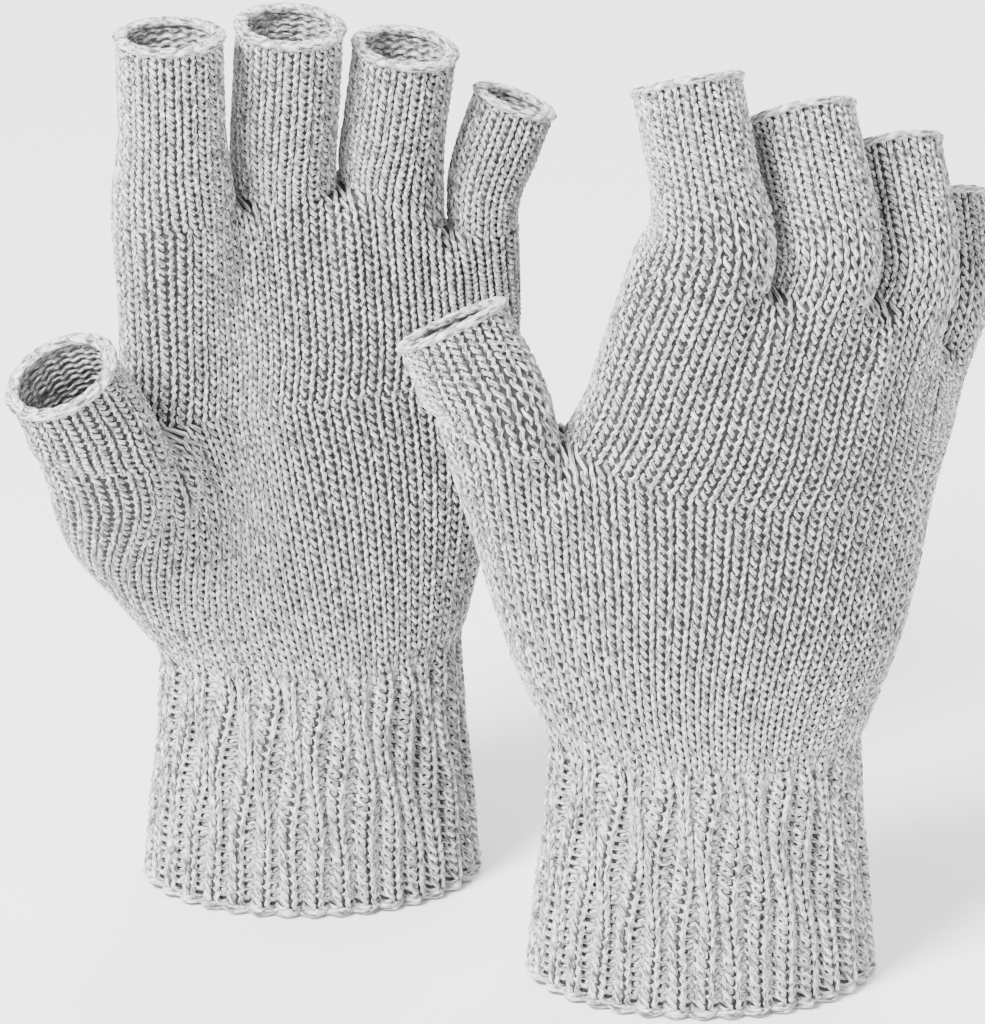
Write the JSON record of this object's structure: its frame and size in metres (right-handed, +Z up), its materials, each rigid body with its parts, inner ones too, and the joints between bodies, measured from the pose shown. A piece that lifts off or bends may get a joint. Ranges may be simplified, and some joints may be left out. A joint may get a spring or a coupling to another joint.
{
  "type": "fingerless gloves",
  "caption": "Pair of half-finger knitted gloves with ribbed cuffs, standing filled out as if worn, with open finger and thumb tubes that bend at their roots.",
  "frame": {"origin": "on the surface that the cuffs stand on, below the middle of the pair's box", "axes": "+X from the left-hand glove to the right-hand glove, +Y to the back, +Z up from the cuffs to the fingertips' openings; the left-hand glove shows its palm to -Y and the right-hand glove shows the back of the hand to -Y"},
  "size_m": [0.2119, 0.1204, 0.2118],
  "materials": {
    "heather_yarn": "light grey heather yarn knitted in plain jersey and 1x1 rib, matt, slightly fuzzy",
    "covered_elastic": "pale grey covered elastic thread, matt"
  },
  "bodies": {
    "left_cuff": {"left_cuff_hem": "heather_yarn", "left_cuff_rib": "heather_yarn", "left_cuff_elastic_1": "covered_elastic", "left_cuff_elastic_2": "covered_elastic", "left_wrist_band": "heather_yarn"},
    "left_hand": {"left_lower_palm": "heather_yarn", "left_upper_palm": "heather_yarn", "left_thumb_root": "heather_yarn", "left_index_root": "heather_yarn", "left_middle_root": "heather_yarn", "left_ring_root": "heather_yarn", "left_little_root": "heather_yarn"},
    "left_thumb": {"left_thumb_tube": "heather_yarn", "left_thumb_rim": "heather_yarn"},
    "left_index": {"left_index_tube": "heather_yarn", "left_index_rim": "heather_yarn"},
    "left_middle": {"left_middle_tube": "heather_yarn", "left_middle_rim": "heather_yarn"},
    "left_ring": {"left_ring_tube": "heather_yarn", "left_ring_rim": "heather_yarn"},
    "left_little": {"left_little_tube": "heather_yarn", "left_little_rim": "heather_yarn"},
    "right_cuff": {"right_cuff_hem": "heather_yarn", "right_cuff_rib": "heather_yarn", "right_cuff_elastic_1": "covered_elastic", "right_cuff_elastic_2": "covered_elastic", "right_wrist_band": "heather_yarn"},
    "right_hand": {"right_lower_palm": "heather_yarn", "right_upper_palm": "heather_yarn", "right_thumb_root": "heather_yarn", "right_index_root": "heather_yarn", "right_middle_root": "heather_yarn", "right_ring_root": "heather_yarn", "right_little_root": "heather_yarn"},
    "right_thumb": {"right_thumb_tube": "heather_yarn", "right_thumb_rim": "heather_yarn"},
    "right_index": {"right_index_tube": "heather_yarn", "right_index_rim": "heather_yarn"},
    "right_middle": {"right_middle_tube": "heather_yarn", "right_middle_rim": "heather_yarn"},
    "right_ring": {"right_ring_tube": "heather_yarn", "right_ring_rim": "heather_yarn"},
    "right_little": {"right_little_tube": "heather_yarn", "right_little_rim": "heather_yarn"}
  },
  "joints": [
    {"name": "left_wrist_bend", "type": "hinge", "parent": "left_cuff", "child": "left_hand", "pos_m": [-0.04325, 0.03088, 0.071], "axis": [0.9859, 0.1671, 0], "range_deg": [-40, 25], "deforming": ["left_wrist_band"]},
    {"name": "left_thumb_bend", "type": "hinge", "parent": "left_hand", "child": "left_thumb", "pos_m": [-0.08826, -0.01484, 0.12267], "axis": [0.9089, 0.0522, 0.4137], "range_deg": [-25, 30], "deforming": ["left_thumb_root"]},
    {"name": "left_index_bend", "type": "hinge", "parent": "left_hand", "child": "left_index", "pos_m": [-0.07016, 0.00912, 0.1721], "axis": [0.934, 0.3568, 0.0181], "range_deg": [-15, 45], "deforming": ["left_index_root"]},
    {"name": "left_middle_bend", "type": "hinge", "parent": "left_hand", "child": "left_middle", "pos_m": [-0.04762, 0.02245, 0.17351], "axis": [0.9703, 0.2382, -0.0421], "range_deg": [-15, 45], "deforming": ["left_middle_root"]},
    {"name": "left_ring_bend", "type": "hinge", "parent": "left_hand", "child": "left_ring", "pos_m": [-0.0243, 0.02823, 0.16946], "axis": [0.9662, 0.2322, -0.1122], "range_deg": [-15, 45], "deforming": ["left_ring_root"]},
    {"name": "left_little_bend", "type": "hinge", "parent": "left_hand", "child": "left_little", "pos_m": [-0.00413, 0.03279, 0.16174], "axis": [0.9115, 0.2303, -0.3409], "range_deg": [-15, 45], "deforming": ["left_little_root"]},
    {"name": "right_wrist_bend", "type": "hinge", "parent": "right_cuff", "child": "right_hand", "pos_m": [0.04488, -0.02237, 0.07092], "axis": [-0.9849, -0.173, 0], "range_deg": [-40, 30], "deforming": ["right_wrist_band"]},
    {"name": "right_thumb_bend", "type": "hinge", "parent": "right_hand", "child": "right_thumb", "pos_m": [-0.00376, -0.04438, 0.14076], "axis": [-0.9034, 0.0575, -0.4249], "range_deg": [-25, 30], "deforming": ["right_thumb_root"]},
    {"name": "right_index_bend", "type": "hinge", "parent": "right_hand", "child": "right_index", "pos_m": [0.0426, -0.04538, 0.17684], "axis": [-0.963, -0.1997, -0.1809], "range_deg": [-30, 25], "deforming": ["right_index_root"]},
    {"name": "right_middle_bend", "type": "hinge", "parent": "right_hand", "child": "right_middle", "pos_m": [0.06696, -0.03599, 0.17021], "axis": [-0.958, -0.2592, -0.1226], "range_deg": [-30, 5], "deforming": ["right_middle_root"]},
    {"name": "right_ring_bend", "type": "hinge", "parent": "right_hand", "child": "right_ring", "pos_m": [0.08459, -0.02198, 0.16115], "axis": [-0.9389, -0.341, 0.0463], "range_deg": [-6, 12], "deforming": ["right_ring_root"]},
    {"name": "right_little_bend", "type": "hinge", "parent": "right_hand", "child": "right_little", "pos_m": [0.09627, -0.00684, 0.15046], "axis": [-0.8856, -0.3962, 0.2423], "range_deg": [-12, 12], "deforming": ["right_little_root"]},
    {"name": "gloves_apart", "type": "slide", "parent": "left_cuff", "child": "right_cuff", "axis": [1, 0, 0], "range_m": [0, 0.2]}
  ]
}
